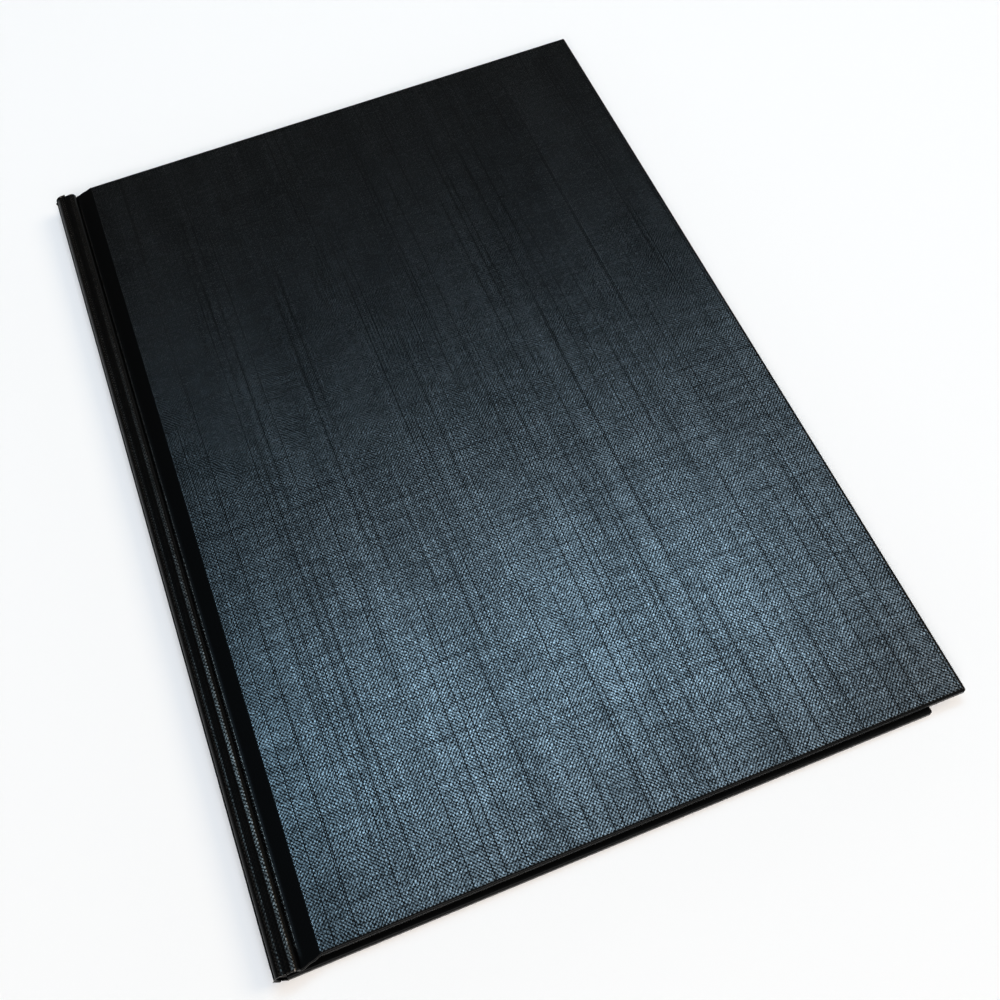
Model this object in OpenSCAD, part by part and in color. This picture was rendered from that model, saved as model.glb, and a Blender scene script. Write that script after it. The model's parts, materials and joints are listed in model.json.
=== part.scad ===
// Hardcover clamp binder, closed and empty, lying on its back cover.
// The origin is the centre of the back cover's outer face. X runs to the fore edge, Y to the head, Z up.

/* [Covers] */
// Width of a cover from its spine edge to its fore edge
cover_w = 198.8; // [150:0.1:260]
// Height of a cover from tail to head
cover_h = 305; // [220:1:400]
// Thickness of the grey board inside a cover
board_t = 2; // [1.5:0.1:3]
// Radius of the covering paper where it turns over an edge of the board
edge_r = 0.6; // [0.4:0.1:0.9]
// Distance that the front cover has slipped towards the head
head_slip = 1.5; // [0:0.1:3]

/* [Papers] */
// Thickness of the covering paper
paper_t = 0.3; // [0.2:0.05:0.4]
// Width of the covering paper that is turned in on a cover's inside
turn_in = 15; // [8:1:25]
// Thickness of an endpaper
end_t = 0.2; // [0.1:0.05:0.25]
// Margin between an endpaper and the cover's edges
end_margin = 4; // [1:0.5:6]

/* [Joints] */
// Width of a joint strip between its two creases
joint_w = 5.7; // [5.4:0.1:8]
// Slope of the front joint strip down to the spine
joint_dip = 8; // [2:1:14]
// Radius of the bead that is pressed along a joint strip beside the spine
bead_r = 0.35; // [0.25:0.05:0.5]
// Thickness of the lining strip inside a joint
lining_t = 0.2; // [0.1:0.05:0.3]
// Margin between a lining strip and the creases
lining_margin = 0.8; // [0.6:0.1:1.5]

/* [Spine] */
// Width of the covered spine
spine_w = 7; // [6:0.1:10]
// Radius of the covered spine's corners
spine_r = 1.75; // [1.5:0.05:2.2]
// Depth of the covered spine's sides
spine_side = 2.4; // [2.2:0.1:3]
// Tilt of the spine as it lies on the back cover
spine_tilt = 7; // [0:1:12]

/* [Clamp] */
// Margin between an end of the spine and the end of the steel clamp
clamp_margin = 3; // [2:0.5:10]
// Thickness of the spring steel
steel_t = 0.7; // [0.5:0.05:0.9]
// Depth of the line where the jaws pinch the sheets, from the top of the spine
pinch_depth = 3.9; // [3.5:0.1:5]
// Gap between the jaws where they pinch
pinch_gap = 0.7; // [0.4:0.1:1.5]
// Depth of a jaw's flared lip
lip_depth = 0.6; // [0.4:0.1:1]
// Flare of a jaw's lip
lip_flare = 0.7; // [0.4:0.1:1]
// Angle through which a jaw springs open
jaw_open = 12; // [4:1:14]

/* [Fits] */
// Gap at a crease between two stretches of paper
fold_gap = 0.1; // [0.05:0.05:0.2]
// Gap between pieces that lie on one another
rest_gap = 0.3; // [0.2:0.05:0.5]
// Gap around a jaw's rounded root
root_gap = 0.05; // [0.03:0.01:0.1]

/* [Hidden] */
$fn = 96;

black_paper = [0.09, 0.1, 0.11];
grey_board = [0.55, 0.54, 0.5];
white_paper = [0.93, 0.92, 0.88];
black_cloth = [0.05, 0.05, 0.06];
spring_steel = [0.7, 0.72, 0.75];

function turn(p, a) = [p.x * cos(a) - p.y * sin(a), p.x * sin(a) + p.y * cos(a)];
function reach(a, length) = [length * cos(a), length * sin(a)];

// Levels in a cover, downwards from the middle of the covering paper on its outer face
paper_top = paper_t / 2;
board_top = -paper_t / 2;
board_low = board_top - board_t;
flap_low = board_low - paper_t;
inside = flap_low - end_t;
cover_t = paper_top - inside;

// Points of the clamp in its own plane, from the middle of the spine's top
clamp_l = cover_h - 2 * clamp_margin;
jaw_t = steel_t - 2 * root_gap;
jaw_root = [spine_w / 2 - paper_t - steel_t / 2, -spine_r];
jaw_pinch = [(pinch_gap + jaw_t) / 2, -pinch_depth];
jaw_lip = jaw_pinch + [lip_flare, -lip_depth];
lip_open = jaw_root + turn(jaw_lip - jaw_root, jaw_open);
crease = [spine_w / 2 + bead_r + fold_gap, -spine_side - paper_t / 2];

// Creases in the plane across the spine, from the back cover round to the front cover
edge_gap = paper_t / 2 + fold_gap;
back_edge = [-cover_w / 2 - edge_gap, paper_t / 2];
lip_low = turn([-lip_open.x, lip_open.y], spine_tilt).y;
spine_z = cover_t + rest_gap + jaw_t / 2 - lip_low;
back_crease_drop = turn([-crease.x, crease.y], spine_tilt);
back_lean = 180 - asin((spine_z + back_crease_drop.y - back_edge.y) / joint_w);
back_crease = back_edge + reach(back_lean, joint_w);
spine_mid = back_crease - back_crease_drop;
front_crease = spine_mid + turn(crease, spine_tilt);
front_edge = front_crease + reach(joint_dip, joint_w);
front_droop = atan((front_edge.y + inside - cover_t - rest_gap) / (cover_w / 2 - front_edge.x));

// A flat outline in the plane across the spine, drawn out along the spine
module along_spine(length) {
    translate([0, length / 2, 0]) rotate([90, 0, 0]) linear_extrude(length) children();
}

// A bar of one thickness through the given points, with round ends and bends
module bent_bar(points, t) {
    for (i = [0 : len(points) - 1]) translate(points[i]) circle(d = t);
    for (i = [1 : len(points) - 1]) {
        run = points[i] - points[i - 1];
        translate(points[i - 1]) rotate(atan2(run.y, run.x)) translate([0, -t / 2]) square([norm(run), t]);
    }
}

// A plain bar with square ends that runs beside the line from p to q
module side_bar(p, q, offset, t, margin) {
    run = q - p;
    translate(p) rotate(atan2(run.y, run.x))
        translate([margin, offset]) square([norm(run) - 2 * margin, t]);
}

// A rectangle with round corners
module soft_square(low, high, r) {
    translate(low + [r, 0]) square(high - low - [2 * r, 0]);
    translate(low + [0, r]) square(high - low - [0, 2 * r]);
    for (x = [low.x + r, high.x - r], y = [low.y + r, high.y - r]) translate([x, y]) circle(r);
}

// A block with two round top corners, from its top middle downwards
module crown(w, r, depth) {
    intersection() {
        soft_square([-w / 2, -depth - 2 * r], [w / 2, 0], r);
        translate([-w, -depth]) square([2 * w, depth + r]);
    }
}

module on_back_cover() {
    translate([back_edge.x, 0, back_edge.y]) mirror([0, 0, 1]) children();
}

module on_front_cover() {
    translate([front_edge.x, head_slip, front_edge.y]) rotate([0, front_droop, 0]) children();
}

module on_spine(length) {
    along_spine(length) translate(spine_mid) rotate(spine_tilt) children();
}

// A sheet or board of a cover between two levels, set in from the cover's edges
module cover_slab(low, high, fore_inset, end_inset) {
    translate([edge_gap, end_inset - cover_h / 2, low])
        cube([cover_w - fore_inset, cover_h - 2 * end_inset, high - low]);
}

module board() {
    cover_slab(board_low, board_top, paper_t, paper_t);
}

// The covering paper over a cover's outer face and three edges, with its turned-in flaps
module cover_paper() {
    difference() {
        intersection() {
            along_spine(cover_h)
                soft_square([edge_gap - 2 * edge_r, flap_low], [edge_gap + cover_w, paper_top], edge_r);
            translate([edge_gap, 0, 0]) rotate([90, 0, 90]) linear_extrude(cover_w)
                soft_square([-cover_h / 2, flap_low], [cover_h / 2, paper_top], edge_r);
        }
        cover_slab(board_low, board_top, paper_t, paper_t);
        cover_slab(flap_low - paper_t, board_low, turn_in, turn_in);
    }
}

// The endpaper lies over the flaps and dips to the board between them
module endpaper() {
    difference() {
        cover_slab(inside, board_low, end_margin, end_margin);
        difference() {
            cover_slab(flap_low, board_low, end_margin, end_margin);
            cover_slab(flap_low, board_low, turn_in, turn_in);
        }
        cover_slab(inside, board_low - end_t, turn_in + end_t, turn_in + end_t);
    }
}

module joint_paper(root, edge) {
    along_spine(cover_h) bent_bar([root, edge], paper_t);
    along_spine(clamp_l) translate(root) circle(bead_r);
}

module jaw() {
    bent_bar([jaw_root, jaw_pinch, jaw_lip], jaw_t);
}

module back_board() {
    color(grey_board) on_back_cover() board();
}

module back_cover_paper() {
    color(black_paper) on_back_cover() cover_paper();
}

module back_endpaper() {
    color(white_paper) on_back_cover() endpaper();
}

module back_joint_paper() {
    color(black_paper) joint_paper(back_crease, back_edge);
}

module back_joint_lining() {
    color(black_cloth) along_spine(clamp_l)
        side_bar(back_crease, back_edge, paper_t / 2, lining_t, lining_margin);
}

// The paper over the spine, doubled inwards where it runs past the ends of the clamp
module spine_cover_paper() {
    fold_l = clamp_margin - fold_gap;
    color(black_paper) {
        on_spine(cover_h) paper_hood(paper_t);
        for (end = [-1, 1])
            translate([0, end * (cover_h - fold_l) / 2, 0]) on_spine(fold_l) paper_hood(2 * paper_t);
    }
}

module paper_hood(t) {
    difference() {
        crown(spine_w, spine_r, spine_side);
        translate([0, -t]) crown(spine_w - 2 * t, spine_r - t, spine_side);
    }
}

// The back of the clamp and its two bends, which end in a hollow around each jaw's root
module clamp_web() {
    leg_end = spine_r - steel_t / 4;
    color(spring_steel) on_spine(clamp_l) difference() {
        translate([0, -paper_t]) crown(spine_w - 2 * paper_t, spine_r - paper_t, leg_end - paper_t);
        translate([0, -paper_t - steel_t])
            crown(spine_w - 2 * (paper_t + steel_t), spine_r - paper_t - steel_t, spine_r);
        for (side = [-1, 1]) translate([side * jaw_root.x, jaw_root.y]) circle(d = steel_t);
    }
}

module front_jaw() {
    color(spring_steel) on_spine(clamp_l) jaw();
}

module back_jaw() {
    color(spring_steel) on_spine(clamp_l) mirror([1, 0]) jaw();
}

module front_joint_paper() {
    color(black_paper) translate([0, head_slip / 2, 0]) joint_paper(front_crease, front_edge);
}

module front_joint_lining() {
    color(black_cloth) translate([0, head_slip / 2, 0]) along_spine(clamp_l)
        side_bar(front_crease, front_edge, -paper_t / 2 - lining_t, lining_t, lining_margin);
}

module front_board() {
    color(grey_board) on_front_cover() board();
}

module front_cover_paper() {
    color(black_paper) on_front_cover() cover_paper();
}

module front_endpaper() {
    color(white_paper) on_front_cover() endpaper();
}

back_board();
back_cover_paper();
back_endpaper();
back_joint_paper();
back_joint_lining();
spine_cover_paper();
clamp_web();
front_jaw();
back_jaw();
front_joint_paper();
front_joint_lining();
front_board();
front_cover_paper();
front_endpaper();
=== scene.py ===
import json
import math

import bmesh
import bpy
from mathutils import Matrix, Vector
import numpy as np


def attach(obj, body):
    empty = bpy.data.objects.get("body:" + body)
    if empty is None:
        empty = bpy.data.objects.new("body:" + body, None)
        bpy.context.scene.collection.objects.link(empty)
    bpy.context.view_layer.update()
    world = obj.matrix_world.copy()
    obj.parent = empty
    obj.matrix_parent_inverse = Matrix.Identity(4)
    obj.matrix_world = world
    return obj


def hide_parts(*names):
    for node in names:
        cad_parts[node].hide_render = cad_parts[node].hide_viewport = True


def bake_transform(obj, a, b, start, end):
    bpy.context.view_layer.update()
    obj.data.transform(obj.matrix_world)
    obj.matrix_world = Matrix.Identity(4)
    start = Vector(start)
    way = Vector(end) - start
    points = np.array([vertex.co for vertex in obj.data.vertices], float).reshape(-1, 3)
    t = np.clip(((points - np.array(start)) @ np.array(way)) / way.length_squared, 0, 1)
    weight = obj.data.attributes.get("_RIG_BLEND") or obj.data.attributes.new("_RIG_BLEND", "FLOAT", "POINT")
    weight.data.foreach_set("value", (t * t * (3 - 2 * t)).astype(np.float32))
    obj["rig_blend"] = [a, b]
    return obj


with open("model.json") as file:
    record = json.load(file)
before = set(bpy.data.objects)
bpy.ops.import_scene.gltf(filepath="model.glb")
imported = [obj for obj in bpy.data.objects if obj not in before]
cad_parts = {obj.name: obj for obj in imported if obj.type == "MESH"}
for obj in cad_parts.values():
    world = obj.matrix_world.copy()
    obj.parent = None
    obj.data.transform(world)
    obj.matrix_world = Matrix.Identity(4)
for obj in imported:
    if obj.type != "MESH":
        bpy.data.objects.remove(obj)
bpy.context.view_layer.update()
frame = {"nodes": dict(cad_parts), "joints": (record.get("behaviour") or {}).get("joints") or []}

mm = 0.001
scene = bpy.context.scene
scene.view_settings.view_transform = "Standard"


# Places taken from the frame, in millimetres

def jointPlace(name):
    for joint in frame["joints"]:
        if joint["name"] == name:
            return Vector(joint["pos_m"]) / mm
    raise ValueError(name)


backFold = jointPlace("back_joint_fold")      # back cover to its joint strip
backCrease = jointPlace("spine_roll")         # joint strip to spine
frontCrease = jointPlace("front_joint_fold")  # spine to joint strip
frontFold = jointPlace("front_cover_fold")    # joint strip to front cover

binder = {
    "coverWidth": 198.8, "coverHeight": 305.0, "boardThick": 2.0, "paper": 0.3,
    "edgeRound": 0.6, "cornerRound": 0.7, "turnIn": 15.0, "foldGap": 0.25,
    "headSlip": 1.5, "droop": 0.411, "spineWidth": 7.0, "spineRound": 1.75,
    "spineSide": 2.4, "beadRadius": 0.35,
}
spineTilt = math.atan2(frontCrease.z - backCrease.z, frontCrease.x - backCrease.x)
creaseDrop = binder["spineSide"] + binder["paper"] / 2
spineFrame = (Matrix.Translation((frontCrease + backCrease) / 2)
              @ Matrix.Rotation(-spineTilt, 4, "Y") @ Matrix.Translation((0, 0, creaseDrop)))
frontFrame = (Matrix.Translation((frontFold.x, binder["headSlip"], frontFold.z))
              @ Matrix.Rotation(math.radians(binder["droop"]), 4, "Y"))
backFrame = Matrix.Translation((backFold.x, 0, backFold.z)) @ Matrix.Scale(-1, 4, (0, 0, 1))
print("frame: spine tilt %.2f degrees" % math.degrees(spineTilt))


# Node helpers

def addNode(tree, kind, **settings):
    made = tree.nodes.new(kind)
    for key, value in settings.items():
        setattr(made, key, value)
    return made


def feed(tree, socket, value):
    if isinstance(value, bpy.types.NodeSocket):
        tree.links.new(value, socket)
    else:
        socket.default_value = value


def calc(tree, operation, *values):
    made = addNode(tree, "ShaderNodeMath", operation=operation)
    for socket, value in zip(made.inputs, values):
        feed(tree, socket, value)
    return made.outputs[0]


def spread(tree, value, low, high, fromLow=0.0, fromHigh=1.0):
    made = addNode(tree, "ShaderNodeMapRange", interpolation_type="SMOOTHSTEP")
    for socket, given in zip(made.inputs, (value, fromLow, fromHigh, low, high)):
        feed(tree, socket, given)
    return made.outputs[0]


def blendColours(tree, share, first, second):
    made = addNode(tree, "ShaderNodeMix", data_type="RGBA")
    feed(tree, made.inputs["Factor"], share)
    for socket, value in zip((made.inputs[6], made.inputs[7]), (first, second)):
        feed(tree, socket, value if isinstance(value, bpy.types.NodeSocket) else (*value, 1))
    return made.outputs[2]


def joinXYZ(tree, x, y, z=0.0):
    made = addNode(tree, "ShaderNodeCombineXYZ")
    for socket, value in zip(made.inputs, (x, y, z)):
        feed(tree, socket, value)
    return made.outputs[0]


def cloudy(tree, place, scale, detail=2.0, rough=0.5):
    made = addNode(tree, "ShaderNodeTexNoise")
    feed(tree, made.inputs["Vector"], place)
    made.inputs["Scale"].default_value = scale
    made.inputs["Detail"].default_value = detail
    made.inputs["Roughness"].default_value = rough
    return made.outputs["Fac"]


def chance(tree, place):
    made = addNode(tree, "ShaderNodeTexWhiteNoise", noise_dimensions="2D")
    feed(tree, made.inputs["Vector"], place)
    return made.outputs["Value"]


def newMaterial(name):
    made = bpy.data.materials.new(name)
    made.use_nodes = True
    tree = made.node_tree
    return made, tree, tree.nodes["Principled BSDF"]


def emboss(tree, surface, height, strength, depth):
    made = addNode(tree, "ShaderNodeBump")
    made.inputs["Strength"].default_value = strength
    made.inputs["Distance"].default_value = depth * mm
    tree.links.new(height, made.inputs["Height"])
    tree.links.new(made.outputs["Normal"], surface.inputs["Normal"])


def inMillimetres(tree, vector):
    made = addNode(tree, "ShaderNodeVectorMath", operation="SCALE")
    tree.links.new(vector, made.inputs[0])
    made.inputs["Scale"].default_value = 1 / mm
    return made.outputs[0]


# Covering paper: black, embossed with a plain linen weave

linenLook = {
    # Threads, in millimetres, and how they drift and lean
    "warpPitch": 0.581, "weftPitch": 0.61, "wander": 0.35, "drifts": ((0.045, 0.02), (0.02, 0.045)),
    "jitter": 1.0, "jitterScale": 0.5, "lean": 0.25, "leanScale": 0.11, "weftRidge": 1.6, "embossDepth": 0.007,
    # The pearly film on their tops
    "dark": (0.001, 0.001, 0.001), "pearl": (0.44, 0.44, 0.44), "matt": 0.33, "bright": 0.26, "shine": 0.08,
    "uneven": 0.5, "crossingShare": 0.88, "filmFrom": (-0.92, 0.53), "metalFrom": (0.0, 0.35),
    # worn: a warm tint for the film where its share is low, on the spine and bead, set so that the cool lamp's
    # reflection there comes out neutral: painted colour in the highlights, not wear
    "worn": (0.5, 0.43, 0.38), "spineTintFrom": (0.78, 0.95),
    # Where it shines more: scales across and along, seed, detail and share of each cloud
    "glint": (0.6, 0.15), "glintLow": 0.26, "glintFrom": (-0.45, 1.6), "dashScale": 0.16, "dashShare": 0.55,
    "clouds": ((0.075, 0.006, 11.0, 2.0, 0.35), (0.35, 0.01, 13.0, 1.0, 0.2),
               (0.09, 0.12, 17.0, 3.0, 0.25), (2.6, 2.6, 41.0, 1.0, 1.0)),
    # Straight lines along single gaps and threads
    "warpLines": dict(every=7.0, reach=0.011, depth=0.9, pairDepth=0.43),
    "weftLines": dict(every=5.0, reach=0.06, depth=0.46, pairDepth=0.25),
    "litThreads": dict(every=8.0, reach=0.012, depth=0.55, pairDepth=0.0),
}
rowStep = 5.37      # sets neighbouring rows of one noise well apart


def stretched(tree, split, scaleX, scaleY, seed, detail=1.0):
    place = joinXYZ(tree, calc(tree, "MULTIPLY", split.outputs[0], scaleX),
                    calc(tree, "MULTIPLY", split.outputs[1], scaleY), seed)
    return cloudy(tree, place, 1.0, detail)


def threadLines(tree, across, along, pitch, seed, every, reach, depth, pairDepth):
    at = calc(tree, "DIVIDE", across, pitch)
    gap = calc(tree, "FLOOR", at)
    fromLine = calc(tree, "ABSOLUTE", calc(tree, "SUBTRACT", calc(tree, "FRACT", at), 0.5))
    far = calc(tree, "MULTIPLY", along, reach)
    # One of each group, chosen by chance, comes and goes along its length
    group = calc(tree, "FLOOR", calc(tree, "DIVIDE", gap, every))
    inGroup = calc(tree, "SUBTRACT", gap, calc(tree, "MULTIPLY", group, every))
    chosen = calc(tree, "FLOOR", calc(tree, "MULTIPLY", chance(tree, joinXYZ(tree, group, seed)), every))
    onLine = calc(tree, "MULTIPLY", calc(tree, "COMPARE", inGroup, chosen, 0.1),
                  spread(tree, fromLine, depth, 0.0, 0.12, 0.43))
    shown = cloudy(tree, joinXYZ(tree, calc(tree, "MULTIPLY", group, rowStep), far, seed), 1.0, 2.0)
    onLine = calc(tree, "MULTIPLY", onLine, spread(tree, shown, 0.0, 1.0, 0.36, 0.58))
    # Every other one differs a little from the one beside it
    paired = calc(tree, "MULTIPLY", calc(tree, "FLOORED_MODULO", gap, 2.0),
                  spread(tree, fromLine, pairDepth, 0.0, 0.1, 0.5))
    shown = cloudy(tree, joinXYZ(tree, calc(tree, "MULTIPLY", across, 0.06), far, seed + 20), 1.0, 1.0)
    paired = calc(tree, "MULTIPLY", paired, spread(tree, shown, 0.4, 1.0, 0.34, 0.58))
    return calc(tree, "MAXIMUM", onLine, paired)


def linenPaper(name, look):
    made, tree, surface = newMaterial(name)
    lay = addNode(tree, "ShaderNodeAttribute", attribute_name="lay")
    split = addNode(tree, "ShaderNodeSeparateXYZ")
    tree.links.new(inMillimetres(tree, lay.outputs["Vector"]), split.inputs[0])
    acrossX, alongY, filmShare = split.outputs
    # Threads wander over centimetres and are uneven within a millimetre
    pitches = (look["warpPitch"], look["weftPitch"])
    slowOffsets, threads = [], []
    for number, (drift, pitch) in enumerate(zip(look["drifts"], pitches)):
        seed = number + 1.0
        slow = calc(tree, "MULTIPLY", stretched(tree, split, *drift, seed), look["wander"])
        quick = stretched(tree, split, look["jitterScale"], look["jitterScale"], seed + 20)
        offset = calc(tree, "MULTIPLY_ADD", quick, look["jitter"], slow)
        slowOffsets.append(slow)
        threads.append(calc(tree, "DIVIDE", calc(tree, "ADD", split.outputs[number], offset), pitch))
    warp, weft = [calc(tree, "FLOOR", thread) for thread in threads]
    warpSine, weftSine = [calc(tree, "SINE", calc(tree, "MULTIPLY", calc(tree, "FRACT", thread), math.pi))
                          for thread in threads]
    parity = calc(tree, "FLOORED_MODULO", calc(tree, "ADD", warp, weft), 2.0)
    side = calc(tree, "MULTIPLY_ADD", parity, -2.0, 1.0)          # 1 where the warp is on top
    # Crossings: tops pressed flat where the warp is over, hollows where it is under
    crossing = calc(tree, "MULTIPLY", side, calc(tree, "MULTIPLY", warpSine, weftSine))
    # The press runs them together on one slant or the other, from patch to patch
    slants = [calc(tree, "COSINE", calc(tree, "MULTIPLY", thread, math.pi)) for thread in threads]
    lean = spread(tree, stretched(tree, split, look["leanScale"], look["leanScale"], 51.0),
                  -look["lean"], look["lean"], 0.36, 0.64)
    crossing = calc(tree, "MULTIPLY_ADD", lean, calc(tree, "MULTIPLY", *slants), crossing)
    height = spread(tree, crossing, 0.0, 1.0, -0.9, 0.3)
    # Thin dark lines: some gaps between threads stay open, for longer along the warp than along the weft
    sunk = 0.0
    for number, (pitch, lines) in enumerate(zip(pitches, (look["warpLines"], look["weftLines"]))):
        shift = calc(tree, "ADD", slowOffsets[number], 0.5 * (look["jitter"] + pitch))
        across = calc(tree, "ADD", split.outputs[number], shift)
        gaps = threadLines(tree, across, split.outputs[1 - number], pitch, number + 3.7, **lines)
        sunk = calc(tree, "MAXIMUM", sunk, gaps)
    # A pearly film lies on the tops only; no two crossings take it alike
    ground = calc(tree, "MULTIPLY_ADD", chance(tree, joinXYZ(tree, warp, weft)),
                  look["uneven"], -0.5 * look["uneven"])
    ground = calc(tree, "ADD", ground, calc(tree, "MULTIPLY_ADD", warpSine, 0.3, -0.2))
    film = spread(tree, calc(tree, "MULTIPLY_ADD", crossing, look["crossingShare"], ground), 0.0, 1.0,
                  *look["filmFrom"])
    film = calc(tree, "MULTIPLY", film, calc(tree, "SUBTRACT", 1.0, sunk))
    film = calc(tree, "MULTIPLY", film, spread(tree, filmShare, 0.0, 1.0))
    # It shines more in dashes along the weft, in columns, in patches and in grains
    glint = calc(tree, "POWER", chance(tree, joinXYZ(tree, calc(tree, "ADD", warp, 0.31), weft)), 2.0)
    glint = calc(tree, "MULTIPLY_ADD", glint, *look["glint"])
    dashes = cloudy(tree, joinXYZ(tree, calc(tree, "MULTIPLY", acrossX, look["dashScale"]),
                                  calc(tree, "MULTIPLY", weft, rowStep), 7.0), 1.0, 1.0)
    clouds = [(stretched(tree, split, *cloud), share) for *cloud, share in look["clouds"]]
    for cloud, share in ((dashes, look["dashShare"]), *clouds):
        glint = calc(tree, "ADD", glint, spread(tree, cloud, -0.5 * share, 0.5 * share, 0.25, 0.75))
    # Single warp threads get a brighter film along their length and catch more light
    across = calc(tree, "ADD", acrossX, calc(tree, "ADD", slowOffsets[0], 0.5 * look["jitter"]))
    glint = calc(tree, "ADD", glint, threadLines(tree, across, alongY, look["warpPitch"], 9.7, **look["litThreads"]))
    glint = calc(tree, "MULTIPLY", spread(tree, glint, look["glintLow"], 1.0, *look["glintFrom"]),
                 calc(tree, "POWER", film, 2.0))
    tree.links.new(spread(tree, film, 0.0, 1.0, *look["metalFrom"]), surface.inputs["Metallic"])
    tree.links.new(spread(tree, film, look["matt"], look["bright"]), surface.inputs["Roughness"])
    # Where the film's share is low, on the spine and bead, it takes the warm tint that turns the cool lamp's
    # reflection neutral: painted colour in the highlights
    pearl = blendColours(tree, spread(tree, filmShare, 0.0, 1.0, *look["spineTintFrom"]), look["worn"], look["pearl"])
    tree.links.new(blendColours(tree, glint, look["dark"], pearl), surface.inputs["Base Color"])
    surface.inputs["Specular IOR Level"].default_value = look["shine"]
    height = calc(tree, "MULTIPLY_ADD", dashes, look["weftRidge"], height)
    emboss(tree, surface, height, 1.0, look["embossDepth"])
    return made


# Raw grey board, only seen at the joints when the binder is open

boardLook = {"dark": (0.16, 0.15, 0.125), "pale": (0.34, 0.32, 0.27), "flecks": 900.0, "layers": 260.0,
             "shares": (0.6, 0.4), "rough": 0.9, "emboss": (0.6, 0.05)}


def greyBoard(look):
    made, tree, surface = newMaterial("grey_board")
    place = addNode(tree, "ShaderNodeTexCoord").outputs["Object"]
    flecks = cloudy(tree, place, look["flecks"], 4.0, 0.65)
    layers = cloudy(tree, place, look["layers"], 2.0)
    fleckShare, layerShare = look["shares"]
    tone = calc(tree, "MULTIPLY_ADD", layers, layerShare, calc(tree, "MULTIPLY", flecks, fleckShare))
    tree.links.new(blendColours(tree, spread(tree, tone, 0, 1, 0.3, 0.7), look["dark"], look["pale"]),
                   surface.inputs["Base Color"])
    surface.inputs["Roughness"].default_value = look["rough"]
    emboss(tree, surface, flecks, *look["emboss"])
    return made


# Endpaper: uncoated, warm white, with faint fibres

endpaperLook = {"pale": (0.84, 0.82, 0.76), "shade": (0.74, 0.715, 0.65), "fibre": 1400.0, "cloud": 55.0,
                "shares": (0.8, 0.2), "rough": 0.8, "emboss": (0.35, 0.02)}


def endpaperStock(look):
    made, tree, surface = newMaterial("uncoated_endpaper")
    place = addNode(tree, "ShaderNodeTexCoord").outputs["Object"]
    fibre = cloudy(tree, place, look["fibre"], 5.0, 0.7)
    cloud = cloudy(tree, place, look["cloud"], 3.0)
    fibreShare, cloudShare = look["shares"]
    tone = calc(tree, "MULTIPLY_ADD", cloud, cloudShare, calc(tree, "MULTIPLY", fibre, fibreShare))
    tree.links.new(blendColours(tree, spread(tree, tone, 0, 1, 0.25, 0.75), look["shade"], look["pale"]),
                   surface.inputs["Base Color"])
    surface.inputs["Roughness"].default_value = look["rough"]
    emboss(tree, surface, fibre, *look["emboss"])
    return made


# Spring steel, rolled along the length of the clamp

steelLook = {"pale": (0.56, 0.57, 0.59), "dark": (0.42, 0.43, 0.455), "grain": (9000, 60, 9000), "cloud": 120.0,
             "rough": (0.24, 0.42), "emboss": (0.25, 0.01)}


def springSteel(look):
    made, tree, surface = newMaterial("rolled_spring_steel")
    place = addNode(tree, "ShaderNodeTexCoord").outputs["Object"]
    grain = addNode(tree, "ShaderNodeMapping")
    tree.links.new(place, grain.inputs["Vector"])
    grain.inputs["Scale"].default_value = look["grain"]
    lines = cloudy(tree, grain.outputs[0], 1.0, 3.0)
    cloud = cloudy(tree, place, look["cloud"], 2.0)
    tree.links.new(blendColours(tree, lines, look["dark"], look["pale"]), surface.inputs["Base Color"])
    surface.inputs["Metallic"].default_value = 1.0
    worn = calc(tree, "MULTIPLY_ADD", cloud, 0.5, calc(tree, "MULTIPLY", lines, 0.5))
    tree.links.new(spread(tree, worn, *look["rough"]), surface.inputs["Roughness"])
    emboss(tree, surface, lines, *look["emboss"])
    return made


# Lining cloth inside the joints

liningLook = {"pitch": 0.42, "dark": (0.009, 0.009, 0.01), "pale": (0.03, 0.03, 0.033), "rough": 0.85,
              "sheen": 0.15, "emboss": (0.8, 0.05)}


def liningCloth(look):
    made, tree, surface = newMaterial("joint_lining_cloth")
    place = inMillimetres(tree, addNode(tree, "ShaderNodeTexCoord").outputs["Object"])
    split = addNode(tree, "ShaderNodeSeparateXYZ")
    tree.links.new(place, split.inputs[0])
    across = calc(tree, "ADD", split.outputs[0], split.outputs[2])
    waves = [calc(tree, "SINE", calc(tree, "MULTIPLY", part, math.pi / look["pitch"]))
             for part in (across, split.outputs[1])]
    cross = calc(tree, "MULTIPLY_ADD", calc(tree, "MULTIPLY", *waves), 0.5, 0.5)
    tree.links.new(blendColours(tree, cross, look["dark"], look["pale"]), surface.inputs["Base Color"])
    surface.inputs["Roughness"].default_value = look["rough"]
    surface.inputs["Sheen Weight"].default_value = look["sheen"]
    emboss(tree, surface, cross, *look["emboss"])
    return made


linen = linenPaper("linen_covering_paper", linenLook)
board = greyBoard(boardLook)
endpaper = endpaperStock(endpaperLook)
steel = springSteel(steelLook)
lining = liningCloth(liningLook)
print("materials made")


# Mesh helpers

def penStart(u, v):
    bm = bmesh.new()
    bm.verts.layers.float.new("arc")
    return bm, bmesh.ops.create_vert(bm, co=(u, 0, v))["vert"][0]


def penLine(bm, pen, *points):
    for u, v in points:
        pen = bmesh.ops.extrude_vert_indiv(bm, verts=[pen])["verts"][0]
        pen.co = (u, 0, v)
    return pen


def penArc(bm, pen, centre, degrees, steps):
    turned = bmesh.ops.spin(bm, geom=[pen], cent=(centre[0], 0, centre[1]), axis=(0, 1, 0),
                            angle=-math.radians(degrees), steps=steps)["geom_last"]
    return [part for part in turned if isinstance(part, bmesh.types.BMVert)][0]


def measureLine(bm, pen, startAt):
    # Length along the drawn line, kept on its points as it is drawn out into a sheet
    arc = bm.verts.layers.float["arc"]
    length, edge = startAt, None
    while True:
        pen[arc] = length
        onward = [e for e in pen.link_edges if e is not edge]
        if not onward:
            return
        edge = onward[0]
        length += edge.calc_length()
        pen = edge.other_vert(pen)


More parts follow.
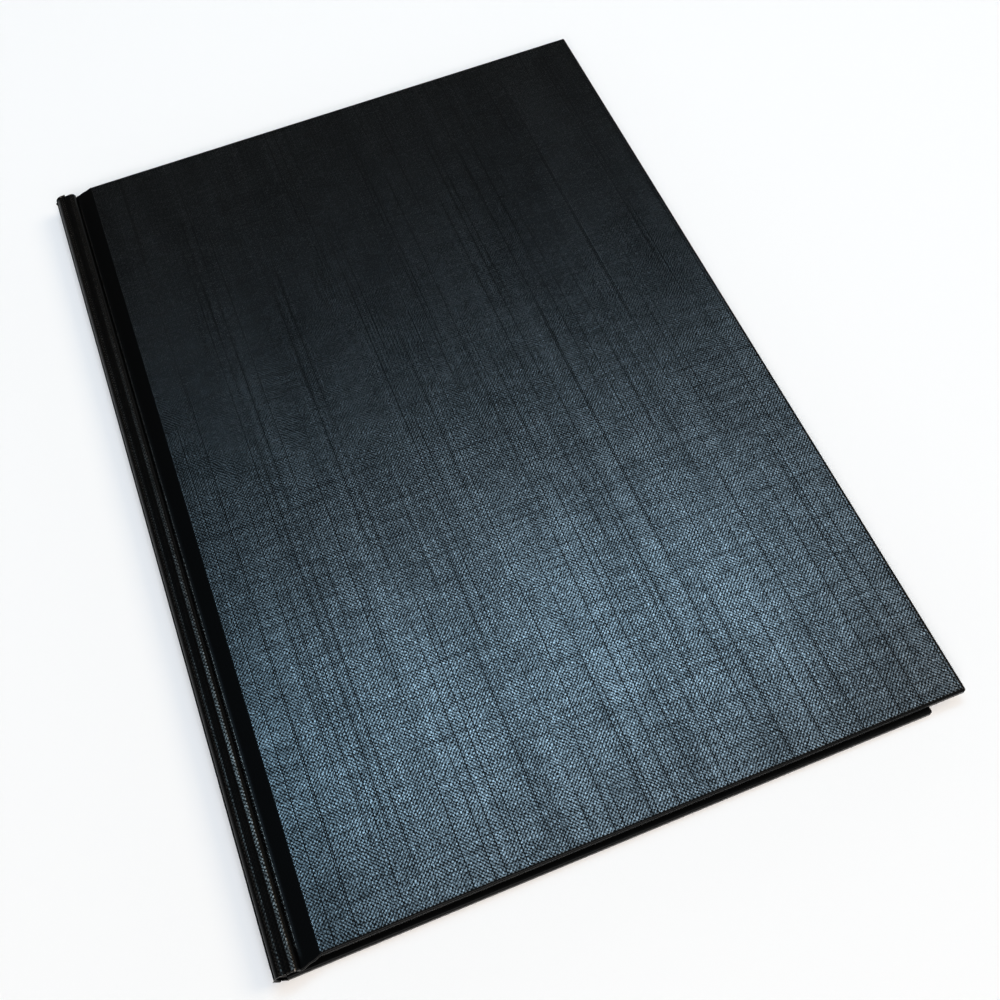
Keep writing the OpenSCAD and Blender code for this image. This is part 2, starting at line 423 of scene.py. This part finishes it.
def drawAlong(bm, stations):
    ring = bm.edges[:]
    bmesh.ops.translate(bm, vec=(0, stations[0], 0), verts=bm.verts[:])
    for low, high in zip(stations, stations[1:]):
        grown = bmesh.ops.extrude_edge_only(bm, edges=ring)["geom"]
        moved = {part for part in grown if isinstance(part, bmesh.types.BMVert)}
        ring = [part for part in grown if isinstance(part, bmesh.types.BMEdge)
                and part.verts[0] in moved and part.verts[1] in moved]
        bmesh.ops.translate(bm, vec=(0, high - low, 0), verts=list(moved))


def thicken(bm, outwards, thickness, turnOver=0.0):
    # outwards is the way that the sheet's widest face should look; turnOver rounds its ends inwards like a fold
    bmesh.ops.recalc_face_normals(bm, faces=bm.faces[:])
    widest = max(bm.faces, key=lambda f: f.calc_area())
    if widest.normal.dot(outwards) < 0:
        bmesh.ops.reverse_faces(bm, faces=bm.faces[:])
    if turnOver:
        bm.normal_update()
        for vert in bm.verts:
            part = (abs(vert.co.y) - jointLook["stations"][-1]) / turnOver + 1
            if part > 0:
                vert.co -= vert.normal * turnOver * (1 - math.sqrt(max(0.0, 1 - part * part)))
    bmesh.ops.solidify(bm, geom=bm.faces[:], thickness=thickness)


def finishPiece(name, bm, material, place, sharp=35, filmOf=None):
    arc = bm.verts.layers.float.get("arc")
    threads = [(v[arc] if arc else v.co.x, v.co.y, filmOf(v) if filmOf else 1.0) for v in bm.verts]
    bmesh.ops.transform(bm, matrix=Matrix.Scale(mm, 4) @ place, verts=bm.verts[:])
    if place.determinant() < 0:
        bmesh.ops.reverse_faces(bm, faces=bm.faces[:])
    mesh = bpy.data.meshes.new(name)
    bm.to_mesh(mesh)
    bm.free()
    lay = mesh.attributes.new("lay", "FLOAT_VECTOR", "POINT")   # across, along, share of the film
    for item, values in zip(lay.data, threads):
        item.vector = Vector(values) * mm
    mesh.shade_smooth()
    mesh.set_sharp_from_angle(angle=math.radians(sharp))
    made = bpy.data.objects.new(name, mesh)
    scene.collection.objects.link(made)
    made.data.materials.append(material)
    print("made", name, len(mesh.polygons), "faces")
    return made


# Covers: the paper over a board's outer face, turned in over three edges

# bareRim: how far the film is rubbed off the outer rims; bareFlap: how far it is left off the flaps, as painted shade
# where the covers shade them
coverLook = {"edgeSegments": 4, "cornerSegments": 5, "supportLoop": 0.4, "bareRim": 0.5, "bareFlap": 1.5}


def coverShell(look):
    bm = bmesh.new()
    width, height, low, top = (binder["coverWidth"], binder["coverHeight"],
                               -binder["boardThick"] - 1.5 * binder["paper"], binder["paper"] / 2)
    flapX = binder["foldGap"] + width - binder["turnIn"]
    flapY = height / 2 - binder["turnIn"]
    bmesh.ops.create_cube(bm, size=1)
    bmesh.ops.scale(bm, vec=(width, height, top - low), verts=bm.verts[:])
    bmesh.ops.translate(bm, vec=(binder["foldGap"] + width / 2, 0, (top + low) / 2), verts=bm.verts[:])
    spineSide = [f for f in bm.faces if f.normal.x < -0.5]
    bmesh.ops.delete(bm, geom=spineSide, context="FACES_ONLY")
    upright = [e for e in bm.edges if abs(e.verts[0].co.z - e.verts[1].co.z) > 1 and not e.is_boundary]
    bmesh.ops.bevel(bm, geom=upright, offset=binder["cornerRound"], offset_type="OFFSET", affect="EDGES",
                    segments=look["cornerSegments"], profile=0.5, material=-1)
    rims = [e for e in bm.edges if not e.is_boundary and e.calc_face_angle(0) > 1]
    bmesh.ops.bevel(bm, geom=rims, offset=binder["edgeRound"], offset_type="OFFSET", affect="EDGES",
                    segments=look["edgeSegments"], profile=0.5, material=-1)
    # Cuts that hold the flat faces flat beside their rounded edges, then the cuts for the turned-in flaps
    rim = binder["edgeRound"] + look["supportLoop"]
    acrossX, alongY = (1, 0, 0), (0, 1, 0)
    for place, normal, lowest in (((binder["foldGap"] + width - rim, 0, 0), acrossX, -1),
                                  ((0, height / 2 - rim, 0), alongY, -1), ((0, rim - height / 2, 0), alongY, -1),
                                  ((flapX, 0, 0), acrossX, 0.5), ((0, flapY, 0), alongY, 0.5),
                                  ((0, -flapY, 0), alongY, 0.5)):
        flat = [f for f in bm.faces if abs(f.normal.z) > 0.99 and -f.normal.z > lowest - 0.01]
        edges = {e for f in flat for e in f.edges}
        verts = {v for f in flat for v in f.verts}
        bmesh.ops.bisect_plane(bm, geom=[*verts, *edges, *flat], dist=1e-5, plane_co=place, plane_no=normal)
    middle = [f for f in bm.faces if f.normal.z < -0.99 and f.calc_center_median().x < flapX
              and abs(f.calc_center_median().y) < flapY]
    bmesh.ops.delete(bm, geom=middle, context="FACES_ONLY")
    thicken(bm, Vector((0, 0, 1)), binder["paper"])
    return bm


def coverFilm(vert):
    # Rubbed off at the rims; left off for longer on the flaps, so that their edges stay black where the covers shade
    # them: painted shade
    inside = min(binder["foldGap"] + binder["coverWidth"] - vert.co.x, binder["coverHeight"] / 2 - abs(vert.co.y))
    outside = vert.co.z > -binder["boardThick"] / 2
    bare = coverLook["supportLoop"] * coverLook["bareRim" if outside else "bareFlap"]
    return 0.0 if inside < binder["edgeRound"] + bare else 1.0


frontCloth = finishPiece("front_cover_cloth", coverShell(coverLook), linen, frontFrame,
                         filmOf=coverFilm)
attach(frontCloth, "front_cover")
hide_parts("front_cover_paper")
backCloth = finishPiece("back_cover_cloth", coverShell(coverLook), linen, backFrame,
                        filmOf=coverFilm)
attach(backCloth, "back_cover")
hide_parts("back_cover_paper")


# Joints: the paper goes on over each fold, down the joint strip and over the spine

jointLook = {
    "ends": (120, 140, 146, 147.4, 148.6, 149.2, 149.8, 150.4, 151, 151.6, 152.05, 152.15, 152.25, 152.35,
             152.43, 152.48, 152.5),
    "between": (-100, -80, -60, -40, -20, 0, 20, 40, 60, 80, 100), "turnOver": 0.4,
    "foldReaches": (0.1, 0.15, 0.3, 0.5, 0.75, 1.0, 1.4, 2.0), "blendOnStrip": 0.9, "blendOnSpine": 0.6,
}
jointLook["stations"] = (*[-y for y in reversed(jointLook["ends"])], *jointLook["between"], *jointLook["ends"])
stripLength = (frontFold - frontCrease).length
half = stripLength / 2
skin = binder["paper"] / 2


def stripPoint(start, direction, outward, reach, lift):
    return tuple(start[i] + direction[i] * reach + outward[i] * lift for i in (0, 1))


def rise(share):
    share = min(1.0, max(0.0, share))
    return share * share * (3 - 2 * share)


def foldSheet(direction, outward, shift):
    # From the edge of a cover to the middle of its joint strip, in the frame of that cover
    bm, first = penStart(binder["foldGap"], skin)
    beforeFold, *reaches = jointLook["foldReaches"]
    pen = penLine(bm, first, (beforeFold, skin), (0.0, skin))
    penLine(bm, pen, *[stripPoint((0, 0), direction, outward, reach, skin) for reach in (*reaches, half)])
    measureLine(bm, first, binder["foldGap"])
    drawAlong(bm, jointLook["stations"])
    arc = bm.verts.layers.float["arc"]
    for vert in bm.verts:
        vert[arc] = 2 * binder["foldGap"] - vert[arc]
    thicken(bm, Vector((0, 0, 1)), binder["paper"], jointLook["turnOver"])
    for vert in bm.verts:
        vert.co.y += shift * rise((binder["foldGap"] - vert[arc]) / half)
    return bm


def unit2(vector):
    length = math.hypot(*vector)
    return (vector[0] / length, vector[1] / length)


def localDirection(frameMatrix, start, end):
    turned = frameMatrix.inverted() @ end - frameMatrix.inverted() @ start
    return unit2((turned.x, turned.z))


frontDown = localDirection(frontFrame, frontFold, frontCrease)
bm = foldSheet(frontDown, (frontDown[1], -frontDown[0]), -binder["headSlip"] / 2)
frontHinge = finishPiece("front_fold_cloth", bm, linen, frontFrame, filmOf=lambda v: 0.0)
backUp = localDirection(backFrame, backFold, backCrease)
bm = foldSheet(backUp, (backUp[1], -backUp[0]), 0.0)
backHinge = finishPiece("back_fold_cloth", bm, linen, backFrame, filmOf=lambda v: 0.0)


spineLook = {
    "ridge": 0.09, "ridgeSteps": (0.4, 0.7, 0.85, 1.0, 1.15, 1.3, 1.45), "ridgeFrom": 0.7, "ridgeShort": 0.75,
    "shoulderSteps": 14, "grooveRadius": 0.05, "grooveDepth": 0.05, "backGrooveLift": 0.15, "grooveSteps": 6,
    "frontBead": (115, 9), "backBead": (160, 10), "backBeadStart": 30, "beadEnd": (148.4, 150.6), "beadZone": 1.2,
    "beadFoot": ((0.4, 0.26), (0.65, 0.19)), "stripReaches": (0.95, 1.4, 2.0),
    # Film on each shoulder: from, to and share; then on the rest of the top and on the front bead
    "frontFilm": (1.3, 2.5, 0.75), "backFilm": (0.5, 1.9, 0.62), "filmFades": (0.4, 0.5), "topFilm": 0.22,
    "beadFilm": 0.75, "beadFilmFrom": 146, "beadFilmFade": 2,
}


def spineSheet(look, side, direction, outward, shift):
    # From the middle of the spine over one shoulder, into the groove, over the bead and on to the strip
    w, r = binder["spineWidth"] / 2, binder["spineRound"]
    bead, groove = binder["beadRadius"], look["grooveRadius"]
    crease = (side * (w + bead + 2 * groove), -creaseDrop)
    bm, first = penStart(0, 0)
    ridgeRun = w - r - look["ridgeShort"]
    pen = penLine(bm, first, *[(side * u, look["ridge"] * rise((u - look["ridgeFrom"]) / ridgeRun))
                               for u in look["ridgeSteps"]], (side * (w - r), 0))
    pen = penArc(bm, pen, (side * (w - r), -r), -90 * side, look["shoulderSteps"])
    bottom = crease[1] - look["grooveDepth"] if side > 0 else crease[1] + look["backGrooveLift"]
    pen = penLine(bm, pen, (side * w, (bottom - r) / 2), (side * w, bottom))
    pen = penArc(bm, pen, (side * (w + groove), bottom), 180 * side, look["grooveSteps"])
    if side > 0:
        pen = penLine(bm, pen, (crease[0] - bead, crease[1]))
        degrees, steps = look["frontBead"]
        pen = penArc(bm, pen, crease, -degrees, steps)
    else:
        angle = math.radians(look["backBeadStart"])
        pen = penLine(bm, pen, (crease[0] + bead * math.cos(angle), crease[1] + bead * math.sin(angle)))
        pen = penArc(bm, pen, crease, *look["backBead"])
    for reach, lift in (*look["beadFoot"], *[(reach, skin) for reach in (*look["stripReaches"], half)]):
        pen = penLine(bm, pen, stripPoint(crease, direction, outward, reach, lift))
    measureLine(bm, first, 0)
    drawAlong(bm, jointLook["stations"])
    arc = bm.verts.layers.float["arc"]
    total = max(v[arc] for v in bm.verts)
    low, high = look["beadEnd"]
    for vert in bm.verts:
        # The bead flattens out before the ends
        above = (vert.co.x - crease[0]) * outward[0] + (vert.co.z - crease[1]) * outward[1] - skin
        if vert[arc] > total - half - look["beadZone"] and above > 0:
            drop = above * rise((abs(vert.co.y) - low) / (high - low))
            vert.co -= Vector((outward[0], 0, outward[1])) * drop
    thicken(bm, Vector((0, 0, 1)), binder["paper"], jointLook["turnOver"])
    for vert in bm.verts:
        vert.co.y += shift * rise(1 - (total - vert[arc]) / half)
        vert[arc] = side * vert[arc]
    return bm


def spineFilm(vert):
    # The film stays on what stands proud: the tops of both shoulders and the front bead
    u, w = abs(vert.co.x), binder["spineWidth"] / 2
    if u < w + 0.02:
        first, last, share = spineLook["frontFilm" if vert.co.x > 0 else "backFilm"]
        fadeIn, fadeOut = spineLook["filmFades"]
        left = 1 - rise((u - last) / fadeOut)
        top = spineLook["topFilm"]
        return top * left + (share - top) * (rise((u - first) / fadeIn) * left)
    onBead = 0 < vert.co.x < w + 0.75 and abs(vert.co.z + creaseDrop) < 0.6
    faded = rise((abs(vert.co.y) - spineLook["beadFilmFrom"]) / spineLook["beadFilmFade"])
    return spineLook["beadFilm"] * (1 - faded) if onBead else 0.0


onwards = localDirection(spineFrame, frontCrease, frontFold)
bm = spineSheet(spineLook, 1, onwards, (-onwards[1], onwards[0]), binder["headSlip"] / 2)
spineFront = finishPiece("spine_front_cloth", bm, linen, spineFrame, filmOf=spineFilm)
downwards = localDirection(spineFrame, backCrease, backFold)
bm = spineSheet(spineLook, -1, downwards, (downwards[1], -downwards[0]), 0)
spineBack = finishPiece("spine_back_cloth", bm, linen, spineFrame, filmOf=spineFilm)


def metres(matrix, x, z):
    return tuple((matrix @ Vector((x, 0, z))) * mm)


w = binder["spineWidth"] / 2
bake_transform(frontHinge, "front_joint", "front_cover",
         start=metres(frontFrame, frontDown[0] * jointLook["blendOnStrip"], frontDown[1] * jointLook["blendOnStrip"]),
         end=metres(frontFrame, binder["foldGap"], 0))
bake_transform(backHinge, "back_joint", "back_cover",
         start=metres(backFrame, backUp[0] * jointLook["blendOnStrip"], backUp[1] * jointLook["blendOnStrip"]),
         end=metres(backFrame, binder["foldGap"], 0))
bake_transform(spineFront, "spine", "front_joint", start=metres(spineFrame, w, -creaseDrop),
         end=metres(spineFrame, w + jointLook["blendOnSpine"], -creaseDrop))
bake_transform(spineBack, "spine", "back_joint", start=metres(spineFrame, -w, -creaseDrop + 0.2),
         end=metres(spineFrame, -w - 0.1, -creaseDrop - 0.4))
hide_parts("front_joint_paper")
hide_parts("back_joint_paper")
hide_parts("spine_cover_paper")


# Linings: black cloth from under each endpaper, round the edge of the board and along the joint strip

liningShape = {"thick": 0.15, "wall": 0.1, "off": 0.32, "tuck": 1.3, "tuckLevel": 2.3, "turn": 0.2,
               "turnSteps": 5, "cornerSteps": 8, "shortOfBead": 0.55, "reach": 151.5, "lengthSteps": 8,
               "parts": (0.06, 0.12, 0.2, 0.35, 0.5, 0.75, 1.0), "blendEnds": (-0.9, 0.3)}


def liningSheet(shape, direction, corner, shift):
    inward = (-direction[1], direction[0])
    along = (shape["wall"] - shape["off"] * inward[0]) / direction[0]
    deep = stripPoint((0, 0), direction, inward, along, shape["off"])
    angle = math.acos(-direction[1])
    leg = corner / math.tan(angle / 2)
    bm, first = penStart(shape["tuck"], -shape["tuckLevel"])
    pen = penLine(bm, first, (shape["wall"] + shape["turn"], -shape["tuckLevel"]))
    pen = penArc(bm, pen, (shape["wall"] + shape["turn"], shape["turn"] - shape["tuckLevel"]), -90,
                 shape["turnSteps"])
    pen = penLine(bm, pen, (shape["wall"], deep[1] - leg))
    pen = penArc(bm, pen, (shape["wall"] - corner, deep[1] - leg), 180 - math.degrees(angle), shape["cornerSteps"])
    last = stripLength - shape["shortOfBead"]
    for part in shape["parts"]:
        far = along + leg + (last - along - leg) * part
        pen = penLine(bm, pen, stripPoint((0, 0), direction, inward, far, shape["off"]))
    steps = shape["lengthSteps"]
    drawAlong(bm, [shape["reach"] * step / steps for step in range(-steps, steps + 1)])
    for vert in bm.verts:
        vert.co.y += shift * rise(-vert.co.x / stripLength)
    thicken(bm, Vector((inward[0], 0, inward[1])), shape["thick"])
    across = unit2((-direction[0], -1 - direction[1]))
    spare = abs(direction[0] * across[0] + direction[1] * across[1])
    ends = [(deep[0] + across[0] * spare * far, deep[1] + across[1] * spare * far) for far in shape["blendEnds"]]
    return bm, ends


for cover, joint, place, direction, corner, shift in (
        ("front_cover", "front_joint", frontFrame, frontDown, 0.2, -binder["headSlip"]),
        ("back_cover", "back_joint", backFrame, backUp, 0.1, 0.0)):
    bm, ends = liningSheet(liningShape, direction, corner, shift)
    piece = finishPiece(joint + "_cloth_lining", bm, lining, place)
    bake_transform(piece, joint, cover, start=metres(place, *ends[0]), end=metres(place, *ends[1]))
    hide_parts(joint + "_lining")


# Endpapers: glued over the flaps, dipping softly to the board between them

endsheetLook = {"margin": 4.0, "thick": 0.2, "slope": 1.8, "slopeSteps": 8,
                "across": (30, 60, 90, 120, 150, 175), "along": (0, 30, 60, 90, 115)}


def endsheet(look):
    low = -binder["boardThick"] - skin - look["thick"]
    reachX = binder["foldGap"] + binder["coverWidth"]
    flapX, flapY = reachX - binder["turnIn"], binder["coverHeight"] / 2 - binder["turnIn"]
    steps = [look["slope"] * part / look["slopeSteps"] - look["slope"] for part in range(look["slopeSteps"] + 1)]
    across = [*look["across"], *[flapX + step for step in steps], reachX - look["margin"]]
    along = [*look["along"], *[flapY + step for step in steps], binder["coverHeight"] / 2 - look["margin"]]
    bm, first = penStart(binder["foldGap"], low)
    penLine(bm, first, *[(x, low) for x in across])
    drawAlong(bm, [*[-y for y in reversed(along[1:])], *along])
    for vert in bm.verts:
        onFlaps = [rise(past / look["slope"] + 1) for past in (vert.co.x - flapX, abs(vert.co.y) - flapY)]
        vert.co.z -= binder["paper"] * max(onFlaps)
    thicken(bm, Vector((0, 0, -1)), look["thick"])
    return bm


for cover, place in (("front", frontFrame), ("back", backFrame)):
    piece = finishPiece(cover + "_endsheet", endsheet(endsheetLook), endpaper, place)
    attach(piece, cover + "_cover")
    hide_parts(cover + "_endpaper")


# The CAD nodes that keep their shape get their own finish

for names, material in ((("front_board", "back_board"), board), (("clamp_web", "front_jaw", "back_jaw"), steel)):
    for name in names:
        node = frame["nodes"][name]
        node.data.materials.clear()
        node.data.materials.append(material)
print("finishes set")


# Stage: a pale table

stageLook = {"size": 16.0, "drop": 0.0001, "colour": (0.93, 0.922, 0.93), "rough": 0.7, "shine": 0.1,
             "horizon": (0.93, 0.935, 0.95), "zenith": (0.03, 0.028, 0.024),
             "fadeFrom": 0.45, "fadeTo": 1.5, "skyFrom": 0.13, "skyTo": 0.33}


def paleTable(look):
    made, tree, surface = newMaterial("pale_table")
    surface.inputs["Base Color"].default_value = (*look["colour"], 1)
    surface.inputs["Roughness"].default_value = look["rough"]
    surface.inputs["Specular IOR Level"].default_value = look["shine"]
    # Far from the object the table fades into the pale background
    away = addNode(tree, "ShaderNodeVectorMath", operation="LENGTH")
    tree.links.new(addNode(tree, "ShaderNodeTexCoord").outputs["Object"], away.inputs[0])
    ray = addNode(tree, "ShaderNodeLightPath").outputs
    mirrored = calc(tree, "MAXIMUM", ray["Is Glossy Ray"], ray["Is Transmission Ray"])
    seen = calc(tree, "MAXIMUM", ray["Is Camera Ray"], mirrored)
    faded = spread(tree, away.outputs["Value"], 0.0, 1.0, look["fadeFrom"], look["fadeTo"])
    share = calc(tree, "MULTIPLY", seen, faded)
    pale = addNode(tree, "ShaderNodeEmission")
    pale.inputs["Color"].default_value = (*look["horizon"], 1)
    mixed = addNode(tree, "ShaderNodeMixShader")
    for socket, value in zip(mixed.inputs, (share, surface.outputs[0], pale.outputs[0])):
        tree.links.new(value, socket)
    tree.links.new(mixed.outputs[0], tree.nodes["Material Output"].inputs["Surface"])
    bm = bmesh.new()
    bmesh.ops.create_grid(bm, x_segments=2, y_segments=2, size=look["size"] / 2)
    bmesh.ops.translate(bm, vec=(0, 0, -look["drop"]), verts=bm.verts[:])
    mesh = bpy.data.meshes.new("table_top")
    bm.to_mesh(mesh)
    bm.free()
    mesh.materials.append(made)
    table = bpy.data.objects.new("table_top", mesh)
    scene.collection.objects.link(table)


paleTable(stageLook)


# Light: a cool panel overhead towards the head, brightest in its middle, a second over the fore edge,
# a warm one from far on that side and a broad, strong one from the tail

def softPanel(name, place, target, sizes, powers, colour):
    for number, (size, power) in enumerate(zip(sizes, powers)):
        lamp = bpy.data.lights.new(name + str(number), "AREA")
        lamp.shape, lamp.size, lamp.size_y = "RECTANGLE", size[0], size[1]
        lamp.energy, lamp.color = power, colour
        made = bpy.data.objects.new(name + str(number), lamp)
        made.location = Vector(place) - Vector((0, 0, 0.01 * number))      # a lamp hides one in its own plane
        made.rotation_euler = (Vector(target) - Vector(place)).to_track_quat("-Z", "Y").to_euler()
        scene.collection.objects.link(made)


lightLook = {
    "coolPanel": dict(place=(0.17, 0.41, 1.43), target=(0.17, 0.41, 0.0),
                      sizes=((1.9, 1.1), (0.95, 0.35)), powers=(2.0, 3.2), colour=(0.38, 0.72, 1.0)),
    "forePanel": dict(place=(0.36, 0.4, 1.46), target=(0.36, 0.4, 0.0), sizes=((1.05, 0.84),), powers=(2.3,),
                      colour=(0.78, 0.86, 0.93)),
    "warmPanel": dict(place=(6.1, -0.4, 5.15), target=(0.0, 0.0, 0.0), sizes=((3.2, 3.2),), powers=(185.0,),
                      colour=(1.0, 0.85, 0.62)),
    "tailPanel": dict(place=(-1.2, -6.6, 7.4), target=(0.0, 0.0, 0.0), sizes=((10.0, 7.2),), powers=(1090.0,),
                      colour=(1.0, 0.97, 0.95)),
}
for name, settings in lightLook.items():
    softPanel(name, **settings)

world = bpy.data.worlds.new("pale_room")
scene.world = world
world.use_nodes = True
skyTree = world.node_tree
sky = skyTree.nodes["Background"]
upward = addNode(skyTree, "ShaderNodeSeparateXYZ")
skyTree.links.new(addNode(skyTree, "ShaderNodeTexCoord").outputs["Generated"], upward.inputs[0])
upShare = spread(skyTree, upward.outputs[2], 0.0, 1.0, stageLook["skyFrom"], stageLook["skyTo"])
skyTree.links.new(blendColours(skyTree, upShare, stageLook["horizon"], stageLook["zenith"]), sky.inputs["Color"])
sky.inputs["Strength"].default_value = 1.0
print("stage and light set")


# Camera

cameraLook = {"place": (-43.062, -227.838, 355.455), "turn": (29.1793, 3.5272, -21.2669), "lens": 44.381,
              "sensor": 36.0, "clip": (0.01, 50.0)}
lens = bpy.data.cameras.new("photo_camera")
lens.lens, lens.sensor_width, lens.sensor_fit = cameraLook["lens"], cameraLook["sensor"], "HORIZONTAL"
lens.clip_start, lens.clip_end = cameraLook["clip"]
camera = bpy.data.objects.new("photo_camera", lens)
camera.location = Vector(cameraLook["place"]) * mm
camera.rotation_euler = [math.radians(a) for a in cameraLook["turn"]]
scene.collection.objects.link(camera)
scene.camera = camera
